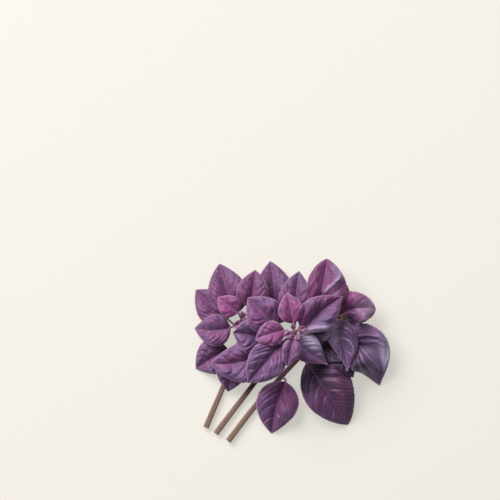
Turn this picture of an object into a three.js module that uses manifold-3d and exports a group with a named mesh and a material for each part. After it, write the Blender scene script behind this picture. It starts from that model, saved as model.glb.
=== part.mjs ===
// A bunch of purple basil, cut and lying on a flat surface: three leafy sprigs whose tips turn upwards.
// Lengths are in millimetres, +Z is up, and the cut stem ends point towards -X and -Y.
// The layout below is measured from the middle of the leaves. The finished group is then moved so that the
// part's origin is the centre of its box, on the surface that the bunch lies on.
import * as THREE from "three";
import { mergeVertices } from "three/addons/utils/BufferGeometryUtils.js";
import Module from "manifold-3d";

const wasm = await Module();
wasm.setup();

// Driving dimensions.
const LAYOUT_CENTRE = [-20.3, -17.1];
const BLADE = 0.9; // thickness of a blade
const RIB = 0.8; // how far the midrib stands out below the blade, at the root
const STALK = 1.8; // width and thickness of a leaf stalk
const TIP_WIDTH = 0.8; // width of a blade's blunt tip
const LEAF_ENDS = [[0.6, 0.9], [0.6, 0.9]]; // powers of a blade's outline at root and tip, left and right
const FOLD = 0.36; // how high a blade rises on either side of its midrib, as a share of the half width
const CREST = 0.7; // where that rise is highest, from 0 at the midrib to 1 at the margin
const TOOTH = 0.07; // depth of the notches in a margin, as a share of the half width
const WAVE = 0.07; // how far a margin rises and falls along its length, as a share of the half width
const WAVES = 2.5; // waves in the length of a margin
const STALK_GAP = 1; // from a stem's side to the end of a stalk
const STEM_WIDTH = [4.8, 2.8]; // across the flats, at the cut end and at the tip
const STEM_CORNER = 0.45; // where a square stem's corners are cut, as a share of the half width
const STEM_RINGS = 16;
const RISE = 0.5; // where a stem starts to leave the surface, from 0 at its cut end to 1 at its tip

// Each leaf is a grid of rows from stalk to tip, and columns from its right margin to its left one.
const STALK_ROWS = 2;
const BLADE_ROWS = 14;
const COLUMNS = 4;
const YOUNG_ROWS = 6;
const YOUNG_COLUMNS = 2;

// The tuft of young leaves at a stem's tip.
const YOUNG_PAIRS = 3;
const YOUNG_SPACING = 1.3; // between the pairs, along the stem
const YOUNG_TURN = 0.4; // azimuth of the first pair
const YOUNG_SHRINK = 0.25; // how much shorter each pair is than the first, as a share of its length
const YOUNG_WIDTH = 0.32; // half width, as a share of the length
const YOUNG_CUP = 0.05; // how far the midrib arches and the margins stand up, as a share of the length
const YOUNG_SINK = 0.4; // from a stem's middle to the end of a young leaf in it
const FINEST = 0.05; // smaller steps are smoothed away where a tuft joins its stem

// How leaves lie on each other.
const LEAF_SPACING = 2.1; // between the middles of two blades that lie on each other
const FLOOR_SPACING = BLADE / 2 + 0.1; // from the surface to the middle of a blade that lies on it
const REACH = 2; // a blade is held up by what is this near to it, seen from above
const SETTLE_PASSES = 80;
const STIFFNESS = 0.985; // 1 lifts a blade as a rigid plate, less lets it bend over what it lies on

// Stems: [x, y, height of the underside]. They lie on the surface, then turn up to a tuft of young leaves.
const SPRIGS = {
  right: {
    route: [[-72, -90, 0], [-52, -64, 0], [-31, -40, 0], [-12, -20, 0], [4, -4, 1.5], [11.5, 4, 6],
      [17, 10.5, 11]],
    young: 5,
  },
  left: {
    route: [[-90, -79, 0], [-81, -58, 0], [-72, -37, 0], [-65, -20, 1], [-61, -8, 6], [-59, 2, 13],
      [-58, 9, 24]],
    young: 11,
  },
  middle: {
    route: [[-82, -84, 0], [-70, -68, 0], [-56, -50, 0], [-43, -33, 1], [-33, -20, 6], [-26, -10, 16],
      [-21, -4, 29], [-18, 0, 43]],
    young: 9,
  },
};

// Leaves from the bottom of the bunch to the top. at is the place on the stem, from 0 at the cut end to 1 at
// the tip; base and tip are the ends of the blade; bow and arch bend its midrib to the left and up; half is
// the width left and right of the midrib, and fall how far those margins hang below it. ends and fold are
// given where a blade differs from the others.
const LEAVES = [
  { name: "leaf_front", sprig: "middle", at: 0.6, base: [-9, -27, 8], tip: [24.5, -77, 0],
    bow: 1, arch: 8, half: [24, 19], fall: [2, 2], ends: [[0.3, 0.7], [0.7, 0.85]] },
  { name: "leaf_front_small", sprig: "right", at: 0.62, base: [13, -14, 6], tip: [28.5, -38, 1.5],
    arch: 2, half: [9, 9], fall: [1, 1] },
  { name: "leaf_right_front", sprig: "right", at: 0.8, base: [20, -12, 12], tip: [50, -45, 0],
    bow: 16, arch: 6, half: [18.5, 23.5], fall: [2, 3], ends: [[0.15, 1.05], [0.65, 0.85]], fold: 0.5 },
  { name: "leaf_near_stems", sprig: "right", at: 0.35, base: [-26, -42, 8], tip: [-37, -84, 0],
    bow: -2, arch: 5, half: [17, 17], fall: [2, 2] },
  { name: "leaf_back_left", sprig: "middle", at: 0.62, base: [-34, 4, 10], tip: [-38, 55, 0],
    bow: -1, arch: 6, half: [18, 18], fall: [2, 2] },
  { name: "leaf_back_middle", sprig: "middle", at: 0.7, base: [-18, 8, 16], tip: [-15, 47, 12],
    bow: 1, arch: 5, half: [14, 13], fall: [2, 2] },
  { name: "leaf_left_corner", sprig: "left", at: 0.72, base: [-72, 8, 8], tip: [-98, 32, 0],
    bow: 1, arch: 4, half: [14, 14], fall: [2, 2] },
  { name: "leaf_left_low", sprig: "left", at: 0.62, base: [-72, -16, 8], tip: [-98, -32, 0],
    bow: -1, arch: 4, half: [15, 15], fall: [2, 2] },
  { name: "leaf_inner_front", sprig: "right", at: 0.7, base: [-1, -6, 9], tip: [18, -25, 8],
    arch: 2, half: [10, 11], fall: [1, 1] },
  { name: "leaf_back_inner", sprig: "right", at: 0.95, base: [18.5, 15, 10], tip: [20, 41, 9],
    arch: 3, half: [9, 7], fall: [1, 1] },
  { name: "leaf_right", sprig: "right", at: 0.99, base: [16.5, 12.5, 16.5], tip: [46.5, 16, 6],
    bow: 3.5, arch: 5, half: [15, 13.5], fall: [2, 4], ends: [[0.15, 0.55], [0.3, 0.5]], fold: 0.48 },
  { name: "leaf_back", sprig: "right", at: 0.8, base: [1, 14, 20], tip: [7.5, 57, 18],
    bow: 0.5, arch: 5, half: [13, 19.5], fall: [3, 2], ends: [[0.6, 0.7], [0.6, 0.75]], fold: 0.45 },
  { name: "leaf_middle_front", sprig: "right", at: 0.936, base: [10.5, 8, 19], tip: [23, -33, 12],
    bow: 3, arch: 5, half: [13.5, 10.5], fall: [3, 3], ends: [[0.6, 1.1], [0.4, 1.25]], fold: 0.5 },
  { name: "leaf_left_back", sprig: "left", at: 0.8, base: [-64, 14, 12], tip: [-79, 53, 0],
    bow: 2, arch: 5, half: [16, 16], fall: [2, 2] },
  { name: "leaf_left_front", sprig: "left", at: 0.72, base: [-62, -16, 12], tip: [-72, -50, 4],
    bow: -2, arch: 5, half: [14, 14], fall: [2, 2] },
  { name: "leaf_left_side", sprig: "left", at: 0.86, base: [-70, 2, 18], tip: [-99, 1, 6],
    bow: 2, arch: 5, half: [13, 13], fall: [2, 2] },
  { name: "leaf_left_inner", sprig: "left", at: 0.92, base: [-54, 18, 20], tip: [-50, 48, 18],
    arch: 4, half: [13, 13], fall: [2, 2] },
  { name: "leaf_left_young", sprig: "left", at: 0.95, base: [-64, 14, 24], tip: [-80, 26, 22],
    arch: 3, half: [9, 9], fall: [1, 1] },
  { name: "leaf_lower_left", sprig: "middle", at: 0.66, base: [-43, -19, 12], tip: [-86, -27, 6],
    bow: 3, arch: 5, half: [17, 15], fall: [2, 2] },
  { name: "leaf_middle_left", sprig: "middle", at: 0.7, base: [-39, -8, 14], tip: [-68, -2, 17],
    bow: -1, arch: 5, half: [16, 16], fall: [2, 2] },
  { name: "leaf_inner_band", sprig: "middle", at: 0.72, base: [-15, -4, 18], tip: [10, -3.5, 18],
    arch: 2, half: [9, 9], fall: [1, 1] },
  { name: "leaf_inner_left", sprig: "middle", at: 0.8, base: [-33, 2, 22], tip: [-56, 26, 20],
    arch: 5, half: [15, 15], fall: [2, 2] },
  { name: "leaf_inner_low", sprig: "middle", at: 0.81, base: [-20.5, -9, 25], tip: [7.6, -27.6, 18],
    arch: 6, half: [14, 9.5], fall: [1, 2], ends: [[0.6, 1.3], [0.6, 1.3]] },
  { name: "leaf_upper_left", sprig: "middle", at: 0.88, base: [-30, -11, 32], tip: [-56, -42, 22],
    arch: 6, half: [15, 15], fall: [2, 2] },
  { name: "leaf_upper_right", sprig: "middle", at: 0.88, base: [-12, -1.5, 34], tip: [19.5, 27, 34],
    bow: 3, arch: 4, half: [14.5, 14.5], fall: [2, 1], ends: [[0.65, 1.1], [0.95, 1.1]], fold: 0.48 },
  { name: "leaf_young_back", sprig: "middle", at: 0.95, base: [-20, 6, 40], tip: [-25, 30, 38],
    arch: 3, half: [10, 10], fall: [1, 1] },
  { name: "leaf_young_front", sprig: "middle", at: 0.95, base: [-20, -6, 40], tip: [-25, -28, 37],
    arch: 3, half: [8, 7], fall: [1, 1] },
  { name: "leaf_young_left", sprig: "middle", at: 0.93, base: [-27, 0, 37], tip: [-50, -7, 36],
    bow: -1, arch: 3, half: [10, 10], fall: [2, 2], fold: 0.2 },
];

const LEAF_FINISH = new THREE.MeshStandardMaterial({ color: "#5c3a5c", roughness: 0.55, metalness: 0 });
const STEM_FINISH = new THREE.MeshStandardMaterial({ color: "#6d4a4c", roughness: 0.6, metalness: 0 });

const mix = (a, b, share) => a + (b - a) * share;

// The half width of a basil blade, from 0 at its root to 1 where it is widest and 0 at its tip.
// Powers near 0 give a blunt end and powers near 1 a pointed one.
function outline(t, [rootPower, tipPower]) {
  const raw = (s) => s ** rootPower * (1 - s) ** tipPower;
  return raw(Math.min(t, 1)) / raw(rootPower / (rootPower + tipPower));
}

// A stem as a curve along its middle, with its half width at any place on it.
function stemOf(route) {
  const points = route.map((p) => new THREE.Vector3(...p));
  const underside = new THREE.CatmullRomCurve3(points, false, "catmullrom", 0.5);
  const halfWidth = (t) => mix(STEM_WIDTH[0], STEM_WIDTH[1], t) / 2;
  const middle = (t) => {
    const point = underside.getPoint(t);
    point.z = Math.max(point.z, 0) + halfWidth(t);
    return point;
  };
  return { halfWidth, middle, tangent: (t) => underside.getTangent(t) };
}

// The unsettled blade and stalk: rows of points on the middle of its thickness, with the share t along the
// blade (below 0 on the stalk) and v across it, from -1 at the right margin to 1 at the left.
function leafRows(leaf, start, bladeRows = BLADE_ROWS, columns = COLUMNS) {
  const root = new THREE.Vector3(...leaf.base);
  const end = new THREE.Vector3(...leaf.tip);
  const chord = end.clone().sub(root).setZ(0).normalize();
  const chordLeft = new THREE.Vector3(-chord.y, chord.x, 0);
  const bend = root.clone().add(end).multiplyScalar(0.5).addScaledVector(chordLeft, 2 * (leaf.bow ?? 0));
  bend.z += 2 * leaf.arch;
  const midrib = new THREE.QuadraticBezierCurve3(root, bend, end);
  const lead = root.clone().sub(bend).setLength(root.distanceTo(start) / 2).add(root);
  const stalk = new THREE.QuadraticBezierCurve3(start, lead, root);

  const rows = [];
  for (let i = -STALK_ROWS; i <= bladeRows; i++) {
    const t = i / bladeRows;
    const onBlade = i > 0;
    const curve = i < 0 ? stalk : midrib;
    const share = i < 0 ? 1 + i / STALK_ROWS : t;
    const centre = curve.getPoint(share);
    const ahead = curve.getTangent(share).setZ(0).normalize();
    const left = new THREE.Vector3(-ahead.y, ahead.x, 0);
    if (i >= 0) left.add(chordLeft).normalize();
    const notch = onBlade && i % 2 ? 1 - TOOTH : 1;
    const row = [];
    for (let j = 0; j <= columns; j++) {
      const v = (2 * j) / columns - 1;
      const side = v > 0 ? 0 : 1;
      const width = onBlade ? outline(t, (leaf.ends ?? LEAF_ENDS)[side]) : 0;
      const least = (i === bladeRows ? TIP_WIDTH : STALK) / 2;
      const across = Math.max(leaf.half[side] * width * notch, least);
      const point = centre.clone().addScaledVector(left, v * across);
      const rise = onBlade ? (leaf.fold ?? FOLD) * Math.sin(((Math.PI / 2) * Math.abs(v)) / CREST) : 0;
      point.z += rise * across - leaf.fall[side] * Math.abs(v) ** 1.5 * width;
      point.z += WAVE * across * v * v * Math.sin(2 * Math.PI * WAVES * t + (side ? 2 : 0) + root.x);
      row.push(point);
    }
    row.t = t;
    row.isBlade = onBlade;
    rows.push(row);
  }
  return rows;
}

// The height of what has been laid so far, over each square millimetre.
class Pile {
  constructor() {
    this.low = [-120, -110];
    this.size = [200, 190];
    this.height = new Float32Array(this.size[0] * this.size[1]);
  }
  cell(x, y) {
    return Math.floor(x - this.low[0]) + this.size[0] * Math.floor(y - this.low[1]);
  }
  raise(x, y, z) {
    const k = this.cell(x, y);
    this.height[k] = Math.max(this.height[k], z);
  }
  near(x, y) {
    let top = 0;
    for (let dx = -REACH; dx <= REACH; dx++)
      for (let dy = -REACH; dy <= REACH; dy++)
        if (dx * dx + dy * dy <= REACH * REACH) top = Math.max(top, this.height[this.cell(x + dx, y + dy)]);
    return top;
  }
  addRows(rows) {
    const steps = 10;
    for (let i = 1; i < rows.length; i++)
      for (let j = 1; j < rows[i].length; j++)
        for (let a = 0; a <= steps; a++)
          for (let b = 0; b <= steps; b++) {
            const near = rows[i - 1][j - 1].clone().lerp(rows[i - 1][j], b / steps);
            const far = rows[i][j - 1].clone().lerp(rows[i][j], b / steps);
            near.lerp(far, a / steps);
            this.raise(near.x, near.y, near.z);
          }
  }
  addStem(stem, from, to) {
    const steps = 150;
    for (let i = 0; i <= steps; i++) {
      const t = mix(from, to, i / steps);
      const half = stem.halfWidth(t);
      const { x, y, z } = stem.middle(t);
      for (let dx = -half; dx <= half; dx += half / 2)
        for (let dy = -half; dy <= half; dy += half / 2) this.raise(x + dx, y + dy, z + half - BLADE / 2);
    }
  }
}

// Lifts a leaf until it lies on the pile: the lift of each point is the mean of its neighbours', drawn a
// little back to nothing, and never less than the pile needs. The stalk's end stays at its stem.
function settle(rows, pile) {
  const need = rows.map((row) =>
    row.map((p) => {
      const under = pile.near(p.x, p.y);
      return Math.max(under > 0 ? under + LEAF_SPACING : 0, FLOOR_SPACING) - p.z;
    }),
  );
  let lift = need.map((row, i) => row.map((n) => (i ? Math.max(n, 0) : 0)));
  for (let pass = 0; pass < SETTLE_PASSES; pass++) {
    const old = lift;
    lift = old.map((row, i) =>
      row.map((own, j) => {
        if (i === 0) return 0;
        const around = [old[i - 1]?.[j], old[i + 1]?.[j], row[j - 1], row[j + 1]];
        const beside = around.filter((n) => n !== undefined);
        const mean = beside.reduce((sum, n) => sum + n, 0) / beside.length;
        return Math.max(need[i][j], STIFFNESS * mean);
      }),
    );
  }
  rows.forEach((row, i) => row.forEach((p, j) => (p.z += lift[i][j])));
}

// A closed solid from a leaf's rows: the same grid above and below, joined round its rim.
function leafGeometry(rows) {
  const columns = rows[0].length;
  const above = [];
  const below = [];
  rows.forEach((row) =>
    row.forEach((p, j) => {
      const v = (2 * j) / (columns - 1) - 1;
      const round = Math.sqrt(1 - v * v);
      const half = row.isBlade ? BLADE / 2 : Math.max((STALK / 2) * round, BLADE / 2);
      const rib = row.isBlade && Math.abs(v) < 0.1 ? RIB * (1 - row.t) : 0;
      above.push(p.x, p.y, p.z + half);
      below.push(p.x, p.y, p.z - half - rib);
    }),
  );
  const under = rows.length * columns;
  const faces = [];
  const quad = (a, b, c, d) => faces.push(a, b, c, a, c, d);
  const last = rows.length - 1;
  for (let i = 0; i < last; i++) {
    for (let j = 0; j < columns - 1; j++) {
      const a = i * columns + j;
      const [b, c, d] = [a + columns, a + columns + 1, a + 1];
      quad(a, b, c, d);
      faces.push(a + under, c + under, b + under, a + under, d + under, c + under);
    }
    const right = i * columns;
    const left = right + columns - 1;
    quad(right + under, right + columns + under, right + columns, right);
    quad(left, left + columns, left + columns + under, left + under);
  }
  for (let j = 0; j < columns - 1; j++) {
    const end = last * columns + j;
    quad(j + under, j, j + 1, j + 1 + under);
    quad(end, end + under, end + 1 + under, end + 1);
  }
  const geometry = new THREE.BufferGeometry();
  geometry.setAttribute("position", new THREE.Float32BufferAttribute([...above, ...below], 3));
  return geometry.setIndex(faces);
}

// A square stem with cut corners, lofted along its middle.
function stemGeometry(stem) {
  const corners = [[1, -STEM_CORNER], [1, STEM_CORNER], [STEM_CORNER, 1], [-STEM_CORNER, 1]];
  const section = [...corners, ...corners.map(([x, y]) => [-x, -y])];
  const positions = [];
  for (let i = 0; i <= STEM_RINGS; i++) {
    const t = i / STEM_RINGS;
    const ahead = stem.tangent(t);
    if (stem.middle(t).z - stem.halfWidth(t) < 0.01) ahead.setZ(0).normalize();
    const side = new THREE.Vector3(ahead.y, -ahead.x, 0).normalize();
    const up = side.clone().cross(ahead);
    section.forEach(([x, y]) => {
      const half = stem.halfWidth(t);
      const p = stem.middle(t).addScaledVector(side, x * half).addScaledVector(up, y * half);
      positions.push(p.x, p.y, p.z);
    });
  }
  const n = section.length;
  const faces = [];
  for (let i = 0; i < STEM_RINGS; i++)
    for (let k = 0; k < n; k++) {
      const [a, b] = [i * n + k, i * n + ((k + 1) % n)];
      faces.push(a, b + n, b, a, a + n, b + n);
    }
  const top = STEM_RINGS * n;
  for (let k = 1; k < n - 1; k++) faces.push(0, k, k + 1, top, top + k + 1, top + k);
  const geometry = new THREE.BufferGeometry();
  geometry.setAttribute("position", new THREE.Float32BufferAttribute(positions, 3));
  return geometry.setIndex(faces);
}

// The tuft at a stem's tip: pairs of young leaves, each pair turned a quarter and smaller than the last.
function youngRows(stem, longest) {
  const tuft = [];
  for (let pair = 0; pair < YOUNG_PAIRS; pair++)
    for (const half of [0, 1]) {
      const azimuth = (pair / 2 + half) * Math.PI + YOUNG_TURN;
      const out = new THREE.Vector3(Math.cos(azimuth), Math.sin(azimuth), 0);
      const node = stem.middle(1).addScaledVector(stem.tangent(1), -YOUNG_SPACING * (YOUNG_PAIRS - pair));
      const length = longest * (1 - YOUNG_SHRINK * pair);
      const base = node.clone().addScaledVector(out, stem.halfWidth(1) + 1).setZ(node.z + 0.7);
      const tip = node.clone().addScaledVector(out, length).setZ(node.z + length * (0.25 + 0.2 * pair));
      const leaf = {
        base: base.toArray(),
        tip: tip.toArray(),
        arch: YOUNG_CUP * length,
        half: [YOUNG_WIDTH * length, YOUNG_WIDTH * length],
        fall: [-YOUNG_CUP * length, -YOUNG_CUP * length],
      };
      const start = node.addScaledVector(out, YOUNG_SINK);
      tuft.push(leafRows(leaf, start, YOUNG_ROWS, YOUNG_COLUMNS));
    }
  return tuft;
}

function solid(geometry) {
  const merged = mergeVertices(geometry, 1e-4);
  const vertProperties = new Float32Array(merged.attributes.position.array);
  const triVerts = new Uint32Array(merged.index.array);
  return new wasm.Manifold(new wasm.Mesh({ numProp: 3, vertProperties, triVerts }));
}

function fuse(geometries) {
  const fused = geometries.map(solid).reduce((all, one) => all.add(one));
  const { vertProperties, triVerts } = fused.asOriginal().setTolerance(FINEST).simplify(FINEST).getMesh();
  const geometry = new THREE.BufferGeometry();
  geometry.setAttribute("position", new THREE.BufferAttribute(vertProperties, 3));
  return geometry.setIndex(new THREE.BufferAttribute(triVerts, 1));
}

function addMesh(group, name, geometry, finish) {
  geometry.computeVertexNormals();
  const mesh = new THREE.Mesh(geometry, finish);
  mesh.name = name;
  group.add(mesh);
}

const bunch = new THREE.Group();
const pile = new Pile();
const sprigs = {};
for (const [name, { route, young }] of Object.entries(SPRIGS)) {
  const stem = stemOf(route);
  sprigs[name] = { stem, tuft: youngRows(stem, young) };
  pile.addStem(stem, 0, RISE);
}
LEAVES.forEach((leaf, index) => {
  const { stem, tuft } = sprigs[leaf.sprig];
  const node = stem.middle(leaf.at);
  const out = new THREE.Vector3(...leaf.base).sub(node).projectOnPlane(stem.tangent(leaf.at)).normalize();
  const rows = leafRows(leaf, node.addScaledVector(out, stem.halfWidth(leaf.at) + STALK_GAP));
  settle(rows, pile);
  pile.addRows(rows);
  addMesh(bunch, leaf.name, leafGeometry(rows), LEAF_FINISH);
  // once a sprig's last leaf is laid, the leaves of the next sprig lie over its tip
  if (LEAVES.slice(index + 1).some((later) => later.sprig === leaf.sprig)) return;
  pile.addStem(stem, RISE, 1);
  tuft.forEach((young) => pile.addRows(young));
});
for (const [name, { stem, tuft }] of Object.entries(sprigs))
  addMesh(bunch, `stem_${name}`, fuse([stemGeometry(stem), ...tuft.map(leafGeometry)]), STEM_FINISH);
bunch.position.set(-LAYOUT_CENTRE[0], -LAYOUT_CENTRE[1], 0);

export default bunch;
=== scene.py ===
import math

import bpy
import numpy as np
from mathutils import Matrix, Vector


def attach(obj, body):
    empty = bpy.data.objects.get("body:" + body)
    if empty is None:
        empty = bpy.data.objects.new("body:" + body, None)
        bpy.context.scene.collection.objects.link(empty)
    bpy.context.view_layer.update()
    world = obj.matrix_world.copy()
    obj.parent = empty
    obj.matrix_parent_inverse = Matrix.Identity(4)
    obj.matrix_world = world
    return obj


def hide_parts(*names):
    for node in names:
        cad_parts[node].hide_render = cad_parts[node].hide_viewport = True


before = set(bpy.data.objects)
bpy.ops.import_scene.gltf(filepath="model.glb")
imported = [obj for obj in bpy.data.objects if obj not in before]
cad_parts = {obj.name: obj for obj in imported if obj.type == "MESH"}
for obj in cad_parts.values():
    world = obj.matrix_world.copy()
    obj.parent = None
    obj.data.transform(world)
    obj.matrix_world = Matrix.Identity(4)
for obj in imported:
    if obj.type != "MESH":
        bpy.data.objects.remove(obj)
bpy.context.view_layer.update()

# A bunch of purple basil lying on a pale surface. Shapes are worked out in millimetres from the middle of
# the leaves, with the same layout and the same way of laying leaves on each other as the solids, and are
# then moved to the part's frame, in metres.
MM = 0.001
LAYOUT_CENTRE = np.array([-20.3, -17.1, 0.0])

STALK = 1.8  # width of a leaf stalk
TIP_WIDTH = 0.8  # width of a blade's blunt tip
LEAF_ENDS = (0.6, 0.9)  # powers of a blade's outline at its root and at its tip
NOTCH = 0.07  # depth of the coarse notches by which the leaves were laid, as a share of the half width
WAVE = 0.07  # how far a margin rises and falls, as a share of the half width
WAVES = 2.5  # waves in the length of a margin
FOLD = 0.36  # how high a blade rises on either side of its midrib, as a share of the half width
CREST = 0.7  # where that rise is highest, from 0 at the midrib to 1 at the margin
FALL_POWER = 1.5  # a blade hangs by this power of the place between midrib and margin
STALK_GAP = 1.0  # from a stem's side to the end of a stalk
STEM_WIDTH = (4.8, 2.8)  # across the flats, at the cut end and at the tip
RISE = 0.5  # where a stem starts to leave the surface, from 0 at its cut end to 1 at its tip

# The coarse grid by which leaves are laid, and the tufts of young leaves
STALK_ROWS = 2
BLADE_ROWS = 14
COLUMNS = 4
YOUNG_ROWS = 6
YOUNG_COLUMNS = 2
YOUNG_PAIRS = 3
YOUNG_SPACING = 1.3  # between the pairs of a tuft
YOUNG_TURN = 0.4  # heading of the lowest pair
YOUNG_SHRINK = 0.25  # how much shorter each pair is than the one below, as a share of the lowest
YOUNG_WIDTH = 0.32  # half width of a young leaf as a share of its length
YOUNG_CUP = 0.05  # how far its margins and midrib rise, as a share of its length
YOUNG_SINK = 0.4  # how far from the stem's middle its stalk starts
YOUNG_FLUSH = 0.7
TUFT_GREEN = {"right": 0.7, "left": 0.15, "middle": 0.1}  # how green the lowest pair of each tuft is
GREEN_STEP = 0.1  # how much greener each pair is than the one below

# How leaves are laid on each other
PILE_LOW = (-120, -110)  # corner of the ground that the pile covers
PILE_SIZE = (200, 190)
SOLID_BLADE = 0.9  # thickness of the solids' blades, by which the leaves were laid
LEAF_SPACING = 2.1  # between the middles of two leaves that touch, with room for their thickness
FLOOR_SPACING = SOLID_BLADE / 2 + 0.1
REACH = 2  # how far round a point the pile is felt
SETTLE_PASSES = 80
STIFFNESS = 0.985  # how much of its neighbours' lift a point takes on

# Stems: [x, y, height of the underside]. young is the length of the longest leaves of the tuft.
SPRIGS = {
    "right": {
        "route": [[-72, -90, 0], [-52, -64, 0], [-31, -40, 0], [-12, -20, 0], [4, -4, 1.5], [11.5, 4, 6],
                  [17, 10.5, 11]],
        "young": 5,
    },
    "left": {
        "route": [[-90, -79, 0], [-81, -58, 0], [-72, -37, 0], [-65, -20, 1], [-61, -8, 6], [-59, 2, 13],
                  [-58, 9, 24]],
        "young": 11,
    },
    "middle": {
        "route": [[-82, -84, 0], [-70, -68, 0], [-56, -50, 0], [-43, -33, 1], [-33, -20, 6], [-26, -10, 16],
                  [-21, -4, 29], [-18, 0, 43]],
        "young": 9,
    },
}


def leaf(name, sprig, at, base, tip, bow, arch, half, fall, flush, ends=(LEAF_ENDS, LEAF_ENDS), fold=FOLD,
         green=0.0, deep=(0.2, 0.2), sweep=0.6, veins=4.2, crimp=1.0, folds=(), bloom=(), sprout=0.0):
    """One leaf of the bunch.

    Form: at is its place on the stem; base and tip are the ends of the blade; bow and arch bend the midrib
    to the left and up; half is the width left and right of the midrib; fall is how far those margins hang;
    ends are the powers of its outline; fold is how high it rises beside the midrib.
    Relief: sweep is how far forward a side vein has come at the margin, as a share of the blade; veins is
    how many there are on each side, and crimp how strongly the blade is pleated at them. folds are ridges
    and, below 0, valleys: the way seen from above, height, width, and if need be how much wider it is on the
    left and how far a vein shows on it.
    Colour: flush is how magenta the halves are, from 0 for dusky violet to 1, and deep how dark,
    partly deeper pigment and partly painted shade; green is how far the pigment has failed, and sprout how
    far at the root. bloom are patches of painted highlight or, below 0, of painted shade: x, y,
    radius and amount."""
    return dict(name=name, sprig=sprig, at=at, base=base, tip=tip, bow=bow, arch=arch, half=half, fall=fall,
                flush=flush, ends=ends, fold=fold, green=green, deep=deep, sweep=sweep, veins=veins,
                crimp=crimp, folds=folds, bloom=bloom, sprout=sprout)


# Each leaf's darkness is partly deeper pigment and partly painted shade, and its patches are painted
# highlights and, below 0, painted shade.
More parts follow.
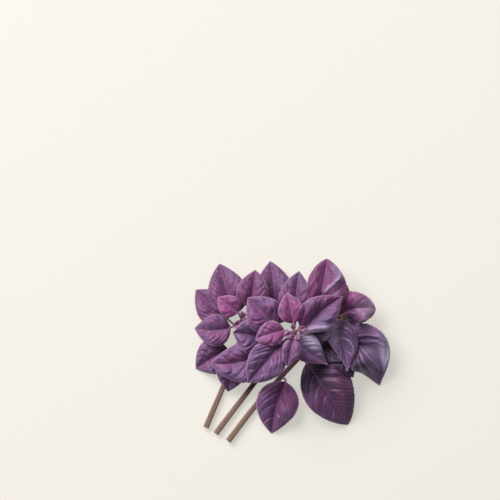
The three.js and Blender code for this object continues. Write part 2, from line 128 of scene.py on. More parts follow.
LEAVES = [
    leaf("leaf_front", "middle", 0.6, (-9, -27, 8), (24.5, -77, 0), 1, 8, (24, 19), (2, 2), (0.75, 0.4),
         ((0.3, 0.7), (0.7, 0.85)), deep=(0.75, 0.5), sweep=0.42, veins=5.4, crimp=0.6, folds=(
             (((4.8, -34.4), (9, -34.2), (13, -34.4)), 1.9, 1.9),
             (((4.8, -37.6), (12, -37.6), (17.6, -37.4)), -1.0, 1.3),
             (((4, -40), (9.6, -40.4), (14.4, -41.2), (18.4, -43.2), (20.8, -46.4)), 2.4, 2.4),
             (((8, -45.6), (13.6, -46.4), (17.6, -47.6), (20, -50.4)), -1.2, 1.6),
             (((8.8, -48.8), (14.4, -49.2), (18.4, -51.2), (21.6, -55.2), (24, -59.2)), 0.25, 0.9, 0, 0.3),
             (((10, -54), (16, -55), (20, -58), (23, -62)), 0.4, 0.9),
             (((-2.4, -43.2), (-2, -52), (-1.2, -60), (-0.8, -65.6)), 0.4, 1.5),
             (((5.6, -52), (9.6, -58.4), (14.4, -66.4), (17.6, -71.2)), 0.5, 2.6),
             (((3.2, -54.4), (5.6, -62.4), (9.6, -68)), -0.5, 2.2),
         ), bloom=((9, -41, 4, 0.1), (14, -43, 3.5, 0.1), (-9, -42, 9, -0.9), (4, -32, 5, -0.5))),
    leaf("leaf_front_small", "right", 0.62, (13, -14, 6), (28.5, -38, 1.5), 0, 2, (9, 9), (1, 1), (0, 0),
         deep=(1, 1)),
    leaf("leaf_right_front", "right", 0.8, (20, -12, 12), (50, -45, 0), 16, 6, (18.5, 23.5), (2, 3), (0, 0),
         ((0.15, 1.05), (0.65, 0.85)), 0.5, deep=(0.1, 0.2), crimp=0, folds=(
             (((30.7, -4.9), (37, -4), (43.9, -4.3), (49, -5.7), (54, -9)), 1.8, 1.9, 0.55, 1.3),
             (((32.5, -9.1), (39.3, -9.7), (43.9, -9.1), (47.3, -9.7), (51.9, -12.6)), 1.3, 1.7, 0.5, 1.0),
             (((34, -7.2), (41, -6.6), (46.5, -7.6)), -0.9, 1.2),
             (((32.5, -12.6), (38.2, -18.3), (41.6, -23.4), (46.2, -26.9), (49.6, -32.6)),
              1.5, 1.7, 0.5, 1.3),
             (((31.9, -14.9), (34.7, -21.1), (36.5, -25.7), (40.5, -30.3), (43.9, -34.3)),
              1.5, 1.6, 0.5, 1.3),
             (((30.5, -18), (31.5, -24), (34, -30), (37.5, -35)), 0.8, 1.6, 0.5, 0.6),
             (((40, -16.5), (43.5, -19), (47, -23.5)), 0.8, 1.4, 0.4, 0.4),
             (((50, -3), (55, -8), (57.5, -14), (57.8, -20), (55.5, -29), (52, -39)), 2.0, 4.0),
         ), bloom=((42, -15, 5, 0.2), (55, -15, 7, 0.75), (53, -24, 6, 0.5), (31, -30, 4, -0.7),
                   (36, 2, 7, -0.9), (37.6, -28, 3.2, -0.9), (40, -31, 4, -0.6), (31.5, -22, 3.2, -0.9),
                   (48, -32, 2.6, -0.8))),
    leaf("leaf_near_stems", "right", 0.35, (-26, -42, 8), (-37, -84, 0), -2, 5, (17, 17), (2, 2),
         (0.35, 0.3)),
    leaf("leaf_back_left", "middle", 0.62, (-34, 4, 10), (-38, 55, 0), -1, 6, (18, 18), (2, 2), (0.5, 0.35),
         deep=(0.55, 0.5)),
    leaf("leaf_back_middle", "middle", 0.7, (-18, 8, 16), (-15, 47, 12), 1, 5, (14, 13), (2, 2), (0.35, 0.3),
         deep=(0.5, 0.45)),
    leaf("leaf_left_corner", "left", 0.72, (-72, 8, 8), (-98, 32, 0), 1, 4, (14, 14), (2, 2), (0.55, 0.45),
         deep=(0.5, 0.55)),
    leaf("leaf_left_low", "left", 0.62, (-72, -16, 8), (-98, -32, 0), -1, 4, (15, 15), (2, 2), (0.2, 0.2)),
    leaf("leaf_inner_front", "right", 0.7, (-1, -6, 9), (18, -25, 8), 0, 2, (10, 11), (1, 1), (0, 0),
         deep=(0.95, 0.9)),
    leaf("leaf_back_inner", "right", 0.95, (18.5, 15, 10), (20, 41, 9), 0, 3, (9, 7), (1, 1), (0.4, 0.4),
         deep=(0.6, 0.6)),
    leaf("leaf_right", "right", 0.99, (16.5, 12.5, 16.5), (46.5, 16, 6), 3.5, 5, (15, 13.5), (2, 4),
         (1.0, 0.5), ((0.15, 0.55), (0.3, 0.5)), 0.48, crimp=0.35, folds=(
             (((21.6, 16), (25.6, 16.4), (29.6, 16.8), (32, 15.2), (35.2, 13.2)), -1.4, 1.5),
             (((22.4, 14.4), (27.2, 14.6), (31.2, 13.4), (34.4, 11), (36, 8.6)), 1.7, 1.8),
             (((24, 9.6), (28, 8), (31.2, 5.6)), -2.2, 3.2),
             (((34.4, 21.6), (36.8, 18), (39.2, 15.6), (41.6, 15.2)), -0.6, 1.3),
             (((36.8, 23.2), (39.2, 20), (41.6, 17.2)), 0.5, 1.3),
             (((29, 28), (31, 23), (34, 19)), 0.5, 1.6),
             (((39, 28.5), (44.5, 24.6), (46.5, 18.9), (45, 13.1), (41.6, 9.1), (37, 6.3)), 2.6, 4.5),
             (((20, 13), (26, 14.5), (34, 16), (44, 16.3)), 2.8, 3.8),
             (((27, 16.5), (31, 15), (34.5, 12.5), (37, 9.5)), -1.7, 1.2),
             (((34, 18), (38, 15.5), (41, 12), (41.5, 9.5)), -1.2, 1.3),
         ), bloom=((36, 20, 7, 0.3), (43, 20, 5, 0.3), (26, 26, 6, 0.05), (37, 11, 6, 0.1),
                   (27, 17, 3.5, -0.35), (26, 8, 4.5, -1.0)), sprout=0.9),
    leaf("leaf_back", "right", 0.8, (1, 14, 20), (7.5, 57, 18), 0.5, 5, (13, 19.5), (3, 2), (0.9, 0.6),
         ((0.6, 0.7), (0.6, 0.75)), 0.45, deep=(0.55, 0.4), crimp=0.4, folds=(
             (((5, 30), (6.6, 31.6), (9.4, 34.8), (13, 37.6), (16, 40.4), (18.6, 44)), 3.5, 3.2, 0.6, 1.0),
             (((7.2, 50), (9.5, 44), (9.5, 39), (8.5, 36.5)), -1.0, 1.8),
             (((8.6, 54), (13, 48.5), (15, 45)), 0.9, 2.0),
             (((-1.5, 50), (-2.4, 42), (-1, 34)), 0.5, 1.8),
             (((6, 50), (4, 42), (3.5, 34)), 0.5, 3.0, 0.5),
         ), bloom=((15, 32, 5, -0.4), (7, 32, 1.8, 0.35), (9.5, 34.5, 1.8, 0.4), (12.5, 37, 1.8, 0.4),
                   (15, 39.3, 1.8, 0.4), (17.3, 42, 1.8, 0.4), (13, 51, 2.5, 0.2), (17.5, 46.5, 2.5, 0.25))),
    leaf("leaf_middle_front", "right", 0.936, (10.5, 8, 19), (23, -33, 12), 3, 5, (13.5, 10.5), (3, 3),
         (0, 0), ((0.6, 1.1), (0.4, 1.25)), 0.5, deep=(0.25, 0.15), crimp=0.8, folds=(
             (((14.4, 2), (19.2, 2.8), (24, 0.8), (27.2, -2.4)), 1.4, 1.6, 0, 0.5),
             (((16.8, -6.8), (21.6, -6.8), (25.6, -9.2), (28, -13.6), (28, -18.4)), 1.5, 1.7, 0, 0.7),
             (((22.5, -11), (24.5, -14), (25, -18)), -1.0, 1.6),
             (((10, -4), (12.5, -9), (15.5, -15)), 0.8, 1.4),
         ), bloom=((22.4, -3.5, 3.0, -0.5), (13, -4, 5.5, 0.6), (13, 1, 5, 0.25))),
    leaf("leaf_left_back", "left", 0.8, (-64, 14, 12), (-79, 53, 0), 2, 5, (16, 16), (2, 2), (0.6, 0.5),
         deep=(0.55, 0.5)),
    leaf("leaf_left_front", "left", 0.72, (-62, -16, 12), (-72, -50, 4), -2, 5, (14, 14), (2, 2),
         (0.1, 0.2)),
    leaf("leaf_left_side", "left", 0.86, (-70, 2, 18), (-99, 1, 6), 2, 5, (13, 13), (2, 2), (0.4, 0.3),
         deep=(0.35, 0.35)),
    leaf("leaf_left_inner", "left", 0.92, (-54, 18, 20), (-50, 48, 18), 0, 4, (13, 13), (2, 2), (0.65, 0.5),
         deep=(0.45, 0.45)),
    leaf("leaf_left_young", "left", 0.95, (-64, 14, 24), (-80, 26, 22), 0, 3, (9, 9), (1, 1), (0.8, 0.7)),
    leaf("leaf_lower_left", "middle", 0.66, (-43, -19, 12), (-86, -27, 6), 3, 5, (17, 15), (2, 2),
         (0.2, 0.3)),
    leaf("leaf_middle_left", "middle", 0.7, (-39, -8, 14), (-68, -2, 17), -1, 5, (16, 16), (2, 2),
         (0.1, 0.15)),
    leaf("leaf_inner_band", "middle", 0.72, (-15, -4, 18), (10, -3.5, 18), 0, 2, (9, 9), (1, 1), (0, 0),
         deep=(0.8, 0.8), bloom=((11, -4.5, 5.5, 1.0),)),
    leaf("leaf_inner_left", "middle", 0.8, (-33, 2, 22), (-56, 26, 20), 0, 5, (15, 15), (2, 2), (0.4, 0.3)),
    leaf("leaf_inner_low", "middle", 0.81, (-20.5, -9, 25), (7.6, -27.6, 18), 0, 6, (14, 9.5), (1, 2),
         (0.05, 0.15), ((0.6, 1.3), (0.6, 1.3)), deep=(0.05, 0.0),
         bloom=((-7, -4, 7, 1.2), (-5, -8, 6, 0.4), (-1, -12, 7, 0.05), (3, -18, 5, 0.15))),
    leaf("leaf_upper_left", "middle", 0.88, (-30, -11, 32), (-56, -42, 22), 0, 6, (15, 15), (2, 2),
         (0.2, 0.1)),
    leaf("leaf_upper_right", "middle", 0.88, (-12, -1.5, 34), (19.5, 27, 34), 3, 4, (14.5, 14.5), (2, 1),
         (0.55, 0.1), ((0.65, 1.1), (0.95, 1.1)), 0.48, deep=(0.38, 0.25), crimp=0.6, folds=(
             (((-10.4, 5.2), (-5.6, 4.4), (1.6, 4.6), (7.2, 4.8), (11.2, 6.4)), -1.5, 1.3),
             (((-4.8, -0.8), (1.6, -1.2), (6.4, 0.8), (11.2, 3.2)), 1.5, 2.6),
             (((-5.2, 0), (-0.8, -0.2)), -0.9, 0.9),
             (((-4, 13.6), (-4, 18.4), (-3.2, 23.2)), 1.3, 1.7),
             (((-10.4, 12), (-8, 16), (-6.4, 20), (-5.6, 24)), 1.1, 1.0),
             (((0, 17), (1.6, 22), (3, 26)), -1.0, 1.8),
             (((6, 9), (10, 12), (14, 17)), 0.7, 1.8),
         ), bloom=((-7, 2, 3.5, 0.4), (-1, 2, 3.5, 0.35), (5, 2.5, 3, 0.3))),
    leaf("leaf_young_back", "middle", 0.95, (-20, 6, 40), (-25, 30, 38), 0, 3, (10, 10), (1, 1), (0.7, 0.6)),
    leaf("leaf_young_front", "middle", 0.95, (-20, -6, 40), (-25, -28, 37), 0, 3, (8, 7), (1, 1),
         (0.3, 0.2)),
    leaf("leaf_young_left", "middle", 0.93, (-27, 0, 37), (-50, -7, 36), -1, 3, (10, 10), (2, 2), (0.6, 0.5),
         fold=0.2),
]


def unit(vectors):
    """Vectors divided by their lengths."""
    return vectors / np.linalg.norm(vectors, axis=-1, keepdims=True)


def flat_left(ahead):
    """The level direction to the left of a heading: the heading turned a quarter about +Z."""
    return unit(np.stack([-ahead[..., 1], ahead[..., 0], np.zeros_like(ahead[..., 0])], -1))


def cubic_weights(count, x):
    """Weights that read a row of count samples at the places x as a cubic through them: the slope at a
    sample is half the step between its neighbours, and the row goes on straight past its ends."""
    k = np.clip(np.floor(x).astype(int), 0, count - 2)
    w = x - k
    basis = np.stack([-w / 2 + w ** 2 - w ** 3 / 2, 1 - 2.5 * w ** 2 + 1.5 * w ** 3,
                      w / 2 + 2 * w ** 2 - 1.5 * w ** 3, -w ** 2 / 2 + w ** 3 / 2], -1)
    wide = np.zeros((len(x), count + 2))
    np.add.at(wide, (np.arange(len(x))[:, None], k[:, None] + np.arange(4)), basis)
    wide[:, 1] += 2 * wide[:, 0]
    wide[:, 2] -= wide[:, 0]
    wide[:, -2] += 2 * wide[:, -1]
    wide[:, -3] -= wide[:, -1]
    return wide[:, 1:-1]


def stem_half(t):
    """Half width of a stem, going evenly from its cut end to its tip."""
    return (STEM_WIDTH[0] + (STEM_WIDTH[1] - STEM_WIDTH[0]) * t) / 2


def stem_middle(route, t):
    """Middle of a stem: a cubic through the points of its underside, kept above the surface, and raised by
    half its width."""
    t = np.atleast_1d(t)
    points = cubic_weights(len(route), t * (len(route) - 1)) @ np.array(route, float)
    points[:, 2] = np.maximum(points[:, 2], 0) + stem_half(t)
    return points


def stem_ahead(route, t):
    """Heading of a stem: the difference of two points of its underside a short way either side."""
    t = np.atleast_1d(t)
    low, high = np.maximum(t - 1e-4, 0), np.minimum(t + 1e-4, 1)
    weights = [cubic_weights(len(route), s * (len(route) - 1)) for s in (high, low)]
    return unit((weights[0] - weights[1]) @ np.array(route, float))


def outline(t, ends, side):
    """Half width of a blade at each t and side as a share of its widest there: t to one power times 1 - t
    to another."""
    root, tip = (np.array(ends)[side][None, :, k] for k in (0, 1))
    widest = root / (root + tip)
    t = np.clip(t, 0, 1)[:, None]
    return t ** root * (1 - t) ** tip / (widest ** root * (1 - widest) ** tip)


def quadratic(a, b, c, s):
    """Points and headings of a curve from a to c that is drawn towards b."""
    s = s[:, None]
    points = a * (1 - s) ** 2 + 2 * b * s * (1 - s) + c * s ** 2
    return points, unit((b - a) * (1 - s) + (c - b) * s)


def midline(leaf, start, rows, i):
    """Middle and left direction of a leaf at each row i: the stalk from row -STALK_ROWS to 0, then the
    midrib. Both are curves of the second power."""
    root, end, start = (np.array(p, float) for p in (leaf["base"], leaf["tip"], start))
    chord_left = flat_left(end - root)
    bend = (root + end) / 2 + chord_left * 2 * leaf["bow"] + [0, 0, 2 * leaf["arch"]]
    lead = root + unit(root - bend) * np.linalg.norm(root - start) / 2
    stalk, stalk_ahead = quadratic(start, lead, root, 1 + np.minimum(i, 0) / STALK_ROWS)
    rib, rib_ahead = quadratic(root, bend, end, np.maximum(i, 0) / rows)
    on_blade = (i >= 0)[:, None]
    left = np.where(on_blade, unit(flat_left(rib_ahead) + chord_left), flat_left(stalk_ahead))
    return np.where(on_blade, rib, stalk), left


def leaf_points(leaf, start, rows, i, v, notch=0.0):
    """Middle of a leaf's thickness at rows i and places v across, from -1 at the right margin to 1 at the
    left: set out from the midline by the outline, rising from the midrib as a sine, hanging by a power of
    |v|, with a wave that grows to the margin."""
    centre, left = midline(leaf, start, rows, i)
    t = i / rows
    side = np.where(v > 0, 0, 1)
    width = np.where((i > 0)[:, None], outline(t, leaf["ends"], side), 0)
    least = np.where(i >= rows, TIP_WIDTH, STALK)[:, None] / 2
    notched = 1 - notch * np.where(i > 0, i % 2, 0)[:, None]
    across = np.maximum(np.array(leaf["half"])[side] * width * notched, least)
    points = centre[:, None] + left[:, None] * (v * across)[..., None]
    wave = np.sin(2 * np.pi * WAVES * t[:, None] + 2 * side + leaf["base"][0])
    fall = np.array(leaf["fall"])[side] * np.abs(v) ** FALL_POWER * width
    fold = leaf["fold"] * across * np.sin(np.pi / 2 * np.abs(v) / CREST) * np.where(i > 0, 1, 0)[:, None]
    points[..., 2] += WAVE * across * v ** 2 * wave - fall
    points[..., 2] += fold
    return points


class Pile:
    """Height of what has been laid so far, over each square millimetre."""

    def __init__(self):
        self.height = np.zeros(PILE_SIZE)

    def cells(self, x, y):
        """Column and row of the square millimetre at a place."""
        return np.floor(x - PILE_LOW[0]).astype(int), np.floor(y - PILE_LOW[1]).astype(int)

    def add_points(self, x, y, z):
        """Raises the pile to points."""
        np.maximum.at(self.height, self.cells(x, y), z)

    def near(self, x, y):
        """Greatest height within REACH."""
        column, row = self.cells(x, y)
        steps = range(-REACH, REACH + 1)
        disc = [(a, b) for a in steps for b in steps if a * a + b * b <= REACH * REACH]
        return np.max([self.height[column + a, row + b] for a, b in disc], axis=0)

    def add_rows(self, points):
        """Raises the pile to a leaf: its points and ten steps between each two, both ways."""
        fine = [np.linspace(0, n - 1, 10 * (n - 1) + 1) for n in points.shape[:2]]
        hats = [np.maximum(1 - np.abs(f[:, None] - np.arange(n)), 0) for f, n in zip(fine, points.shape[:2])]
        x, y, z = (hats[0] @ points[..., k] @ hats[1].T for k in range(3))
        self.add_points(x, y, z)

    def add_stem(self, route, first, last):
        """Raises the pile to a stretch of stem."""
        t = np.linspace(first, last, 151)
        half = stem_half(t)[:, None]
        middle = stem_middle(route, t)
        offsets = [(a, b) for a in (-1, -0.5, 0, 0.5, 1) for b in (-1, -0.5, 0, 0.5, 1)]
        x = middle[:, :1] + half * [a for a, b in offsets]
        y = middle[:, 1:2] + half * [b for a, b in offsets]
        z = np.broadcast_to(middle[:, 2:] + half - SOLID_BLADE / 2, x.shape)
        self.add_points(x, y, z)


def settle(points, pile):
    """How far each point of a leaf is lifted until the leaf lies on the pile: the mean of its neighbours'
    lifts, drawn a little back to nothing, and never less than the pile needs. The stalk's end stays where
    it is."""
    under = pile.near(points[..., 0], points[..., 1])
    need = np.maximum(np.where(under > 0, under + LEAF_SPACING, 0), FLOOR_SPACING) - points[..., 2]
    lift = np.maximum(need, 0)
    lift[0] = 0
    known = np.pad(np.ones(lift.shape), 1)
    beside = known[:-2, 1:-1] + known[2:, 1:-1] + known[1:-1, :-2] + known[1:-1, 2:]
    for _ in range(SETTLE_PASSES):
        wide = np.pad(lift, 1)
        mean = (wide[:-2, 1:-1] + wide[2:, 1:-1] + wide[1:-1, :-2] + wide[1:-1, 2:]) / beside
        lift = np.maximum(need, STIFFNESS * mean)
        lift[0] = 0
    return lift


def lay_bunch():
    """Lays every leaf on those below it. Gives for each leaf its data, the stalk's start, its lifts and the
    place in the stem that it grows from."""
    pile = Pile()
    for sprig in SPRIGS.values():
        pile.add_stem(sprig["route"], 0, RISE)
    laid = []
    for index, one in enumerate(LEAVES):
        route = SPRIGS[one["sprig"]]["route"]
        node = stem_middle(route, one["at"])[0]
        ahead = stem_ahead(route, one["at"])[0]
        out = np.array(one["base"], float) - node
        out = unit(out - ahead * (out @ ahead))
        start = node + out * (stem_half(one["at"]) + STALK_GAP)
        rows = np.arange(-STALK_ROWS, BLADE_ROWS + 1)
        points = leaf_points(one, start, BLADE_ROWS, rows, np.linspace(-1, 1, COLUMNS + 1), NOTCH)
        lift = settle(points, pile)
        points[..., 2] += lift
        pile.add_rows(points)
        laid.append((one, start, lift, node))
        if all(later["sprig"] != one["sprig"] for later in LEAVES[index + 1:]):
            pile.add_stem(route, RISE, 1)
            for young, young_start in tuft_of(one["sprig"]):
                rows = np.arange(-STALK_ROWS, YOUNG_ROWS + 1)
                across = np.linspace(-1, 1, YOUNG_COLUMNS + 1)
                pile.add_rows(leaf_points(young, young_start, YOUNG_ROWS, rows, across, NOTCH))
    return laid


def tuft_of(sprig):
    """Young leaves at a stem's tip, with their starts: pairs up the stem, each turned a quarter and
    smaller."""
    route, longest = SPRIGS[sprig]["route"], SPRIGS[sprig]["young"]
    top, ahead = stem_middle(route, 1)[0], stem_ahead(route, 1)[0]
    tuft = []
    for pair in range(YOUNG_PAIRS):
        for half in (0, 1):
            azimuth = (pair / 2 + half) * math.pi + YOUNG_TURN
            out = np.array([math.cos(azimuth), math.sin(azimuth), 0])
            node = top - ahead * YOUNG_SPACING * (YOUNG_PAIRS - pair)
            length = longest * (1 - YOUNG_SHRINK * pair)
            base, tip = node + out * (stem_half(1) + 1), node + out * length
            base[2], tip[2] = node[2] + 0.7, node[2] + length * (0.25 + 0.2 * pair)
            young = leaf(f"young_{pair}_{half}", sprig, 1, base, tip, 0, YOUNG_CUP * length,
                         (YOUNG_WIDTH * length,) * 2, (-YOUNG_CUP * length,) * 2, (YOUNG_FLUSH,) * 2,
                         green=TUFT_GREEN[sprig] + GREEN_STEP * pair)
            tuft.append((young, node + out * YOUNG_SINK))
    return tuft


# The fine shape of a leaf
BLADE = 0.45  # thickness of a real blade, a little full
LEAST_HALF = 0.9  # half width at a blade's ends
LOWEST = 0.06  # gap between a blade and the surface under it
ROW_STEP = 0.6  # between the rows of a blade's mesh
COLUMN_STEP = 0.7
FINE_BELOW = 25  # a leaf shorter than this has a finer mesh and a slimmer midrib
FLAT_BELOW = 30  # a leaf shorter than this has a flatter relief
QUILT = 1.0  # how far the blade swells between side veins
PLEAT = 1.1  # step up at each side vein, as in a pleated cloth
PILLOW = 0.13  # height of its small pillows between the finer veins
BUCKLE = 0.9  # height of its broad, uneven buckles
GROOVE = 0.5  # depth of the midrib's groove
VEIN_SHOWN = 0.35  # how far a side vein differs in colour
RIB_SHOWN = 0.5  # how far the midrib does
FINE_VEINS = 3  # fine veins to each side vein
STAGGER = 0.42  # the left side's veins are ahead of the right's by this share of their spacing
WANDER = 0.2  # how far a side vein strays, as a share of the same
VEIN_HALF = 0.4  # half width of a side vein
RIB_HALF = 0.75  # half width of the midrib's pale line at the root
RIB_TAPER = 0.6
CROSS_SWELLS = 3.8  # spacing of the low swells that cross the space between two side veins
PILLOWS = (3.4, 3.8)  # spacing of the pillows, across and along
BUCKLES = (2.4, 1.6)  # how fast the broad buckles follow each other, along and across
FOLD_POWER = 1.4  # of a fold's bell: below 2 its top is sharper
TOOTH_LENGTH = 2.7
TOOTH_DEPTH = 0.035  # as a share of the half width
TOOTH_LEAN = 1.5  # power of a tooth's rise: it leans to the tip
RIM_WIDTH = 0.5  # of the pale line along a margin
HALVES_MEET = 6  # the strip along the midrib in which one half's colour passes into the other's
RIB_WIDTH = 1.5  # of the midrib at the blade's root
RIB_RINGS = 70
RIB_SIDES = 12


def ripple(seed, a, b):
    """A slow, uneven wave over two parameters: three sines with seeded directions and starts."""
    draw = np.random.default_rng(seed)
    total = 0.0
    for size in (1.0, 0.6, 0.4):
        along, over = draw.uniform(0.6, 2.4), draw.uniform(-2.0, 2.0)
        start = draw.uniform(0, 2 * math.pi)
        total = total + size * np.sin(2 * np.pi * (along * a + over * b) / 1.6 + start)
    return total / 2


def relief(one, seed, t, v, half_mm, length):
    """Rise of the upper side, how near a side vein and the midrib are, and a count of fine veins.

    A side vein leaves the midrib at a slant and sweeps forward more and more. At each of them the blade
    steps up by a saw wave of four sines, and swells in between by the sine of the way to the next one,
    with low cross swells. Pillows are a product of two waves, and broad buckles grow to the margin. The
    midrib lies in a bell-shaped groove. It all fades to the margin and to the tip."""
    reach = np.abs(v)
    from_rib = reach * half_mm

    # phase counts the side veins: each starts at the place on the midrib from which it swept to the point
    swept = one["sweep"] * (0.6 * reach + 0.4 * reach ** 2)
    left_at = (t - swept) / (1 - swept)
    left_at = np.where(left_at < 0, 0.3 * np.tanh(left_at / 0.3), left_at)
    phase = one["veins"] * np.sign(left_at) * np.abs(left_at) ** 0.9 + np.where(v > 0, STAGGER, 0)
    phase = phase + WANDER * ripple(seed, t, v)
    off_vein = np.abs(phase - np.round(phase))
    spacing = length / one["veins"] * (1 - swept)
    vein = np.exp(-(off_vein * spacing / VEIN_HALF) ** 2) * (1 - reach ** 6) * np.clip((1 - t) * 6, 0, 1)
    vein = vein * min(one["crimp"], 1)
    rib = np.exp(-(from_rib / (RIB_HALF * (1 - RIB_TAPER * t))) ** 2)

    fade = (1 - reach ** 5) * np.clip((1 - t) * 5, 0, 1) * np.clip(t * 12, 0, 1)
    fade = fade * (1 - np.exp(-(from_rib / 3) ** 2))
    strength = 1 + 0.7 * ripple(seed + 7, 1.5 * t, 1.5 * v)
    cross = np.sin(2 * np.pi * (from_rib / CROSS_SWELLS + 0.5 * ripple(seed + 1, 2 * t, v)))
    swell = np.sin(np.pi * off_vein) ** 0.85 * (strength + 0.12 * cross)
    turn = 2 * np.pi * phase
    pleat = sum(np.sin(k * turn) / k for k in (1, 2, 3, 4)) / np.pi
    pillow = np.sin(2 * np.pi * (from_rib / PILLOWS[0] + 0.6 * ripple(seed + 8, 2 * t, v)))
    pillow = pillow * np.sin(2 * np.pi * (t * length / PILLOWS[1] + 0.6 * ripple(seed + 9, 2 * t, v)))
    rise = (QUILT * swell + PLEAT * pleat * strength) * fade * one["crimp"] + PILLOW * pillow * fade
    buckle = ripple(seed + 5, BUCKLES[0] * t, BUCKLES[1] * v) * reach
    rise = rise + BUCKLE * buckle * np.clip((1 - t) * 4, 0, 1)
    rise = rise - GROOVE * np.exp(-from_rib ** 2) * (1 - t) ** 0.5
    rise = rise * min(1, length / FLAT_BELOW)
    return rise, vein * VEIN_SHOWN, rib * RIB_SHOWN, FINE_VEINS * phase + 0.5


def fold_rise(folds, x, y):
    """Rise over a leaf's folds, and how near a vein on one is. Each fold rises by its height times a bell of
    the distance from its way, sharp at the top, and wider to the left of the way than to the right by its
    lean."""
    rise, vein = np.zeros(x.shape), np.zeros(x.shape)
    for way, height, width, *more in folds:
        lean, shown = (more + [0.0, 0.0])[:2]
        way = np.array(way, float)
        nearest, turned = np.full(x.shape, np.inf), np.zeros(x.shape)
        for start, end in zip(way[:-1], way[1:]):
            step = end - start
            along = np.clip(((x - start[0]) * step[0] + (y - start[1]) * step[1]) / (step @ step), 0, 1)
            off_x, off_y = x - start[0] - along * step[0], y - start[1] - along * step[1]
            gap = np.hypot(off_x, off_y)
            to_left = (step[0] * off_y - step[1] * off_x) / (np.linalg.norm(step) * np.maximum(gap, 1e-9))
            turned = np.where(gap < nearest, to_left, turned)
            nearest = np.minimum(nearest, gap)
        rise += height * np.exp(-(nearest / (width * (1 + lean * turned))) ** FOLD_POWER)
        vein = np.maximum(vein, shown * np.exp(-(nearest / (0.15 + 0.2 * width)) ** 2))
    return rise, vein


def grid_faces(rows, columns):
    """Quads of a closed slab: a grid above, one below it and a strip round the rim."""
    a = (np.arange(rows - 1)[:, None] * columns + np.arange(columns - 1)).ravel()
    under = rows * columns
    above = np.stack([a, a + columns, a + columns + 1, a + 1], -1)
    rim = np.concatenate([np.arange(rows - 1) * columns, (rows - 1) * columns + np.arange(columns - 1),
                          (np.arange(rows - 1, 0, -1) + 1) * columns - 1, np.arange(columns - 1, 0, -1)])
    after = np.roll(rim, -1)
    strip = np.stack([rim, rim + under, after + under, after], -1)
    return np.concatenate([above, above[:, ::-1] + under, strip])


def close_rings(rings, ends):
    """Points and faces of a closed tube of rings that go round to the left of its heading: quads between the
    rings, and a fan of triangles from the middle of each end."""
    count, sides = rings.shape[:2]
    k = np.arange(sides)
    after = (k + 1) % sides
    starts = np.arange(count - 1)[:, None] * sides
    wall = np.stack([starts + k, starts + after, starts + sides + after, starts + sides + k], -1)
    first, last, top = count * sides, count * sides + 1, (count - 1) * sides
    caps = np.concatenate([np.stack([np.full(sides, first), after, k], -1),
                           np.stack([np.full(sides, last), top + k, top + after], -1)])
    return np.concatenate([rings.reshape(-1, 3), ends]), wall.reshape(-1, 4), caps


def tube(path, radii, sides):
    """A closed tube: rings of radius radii square to the path, level to the left."""
    ahead = unit(np.gradient(path, axis=0))
    left = flat_left(ahead)
    up = np.cross(ahead, left)
    angle = np.arange(sides) * 2 * np.pi / sides
    out = left[:, None] * np.cos(angle)[:, None] + up[:, None] * np.sin(angle)[:, None]
    return close_rings(path[:, None] + out * radii[:, None, None], path[[0, -1]])


class Piece:
    """Shells gathered into one mesh, with a number of each kind at every vertex."""

    KINDS = ("vein", "under", "flush", "along", "edge", "green", "deep", "bloom", "phase")

    def __init__(self):
        self.points, self.faces, self.numbers, self.count = [], [], [], 0

    def add(self, points, faces, **numbers):
        """Adds a closed shell in layout millimetres."""
        points = points.reshape(-1, 3)
        self.points.append(points)
        self.faces += [(part + self.count).tolist() for part in faces]
        kinds = [np.broadcast_to(numbers.get(kind, 0.0), len(points)) for kind in self.KINDS]
        self.numbers.append(np.stack(kinds, -1))
        self.count += len(points)

    def finish(self, name, material):
        """Makes the object, in the part's frame and metres."""
        mesh = bpy.data.meshes.new(name)
        points = (np.concatenate(self.points) - LAYOUT_CENTRE) * MM
        mesh.from_pydata(points, [], [face for part in self.faces for face in part])
        numbers = np.concatenate(self.numbers)
        for k, kind in enumerate(self.KINDS):
            made = mesh.attributes.new(kind, "FLOAT", "POINT")
            made.data.foreach_set("value", numbers[:, k].astype(np.float32))
        mesh.polygons.foreach_set("use_smooth", np.ones(len(mesh.polygons), bool))
        mesh.set_sharp_from_angle(angle=math.radians(65))
        mesh.materials.append(material)
        made = bpy.data.objects.new(name, mesh)
        bpy.context.collection.objects.link(made)
        return made


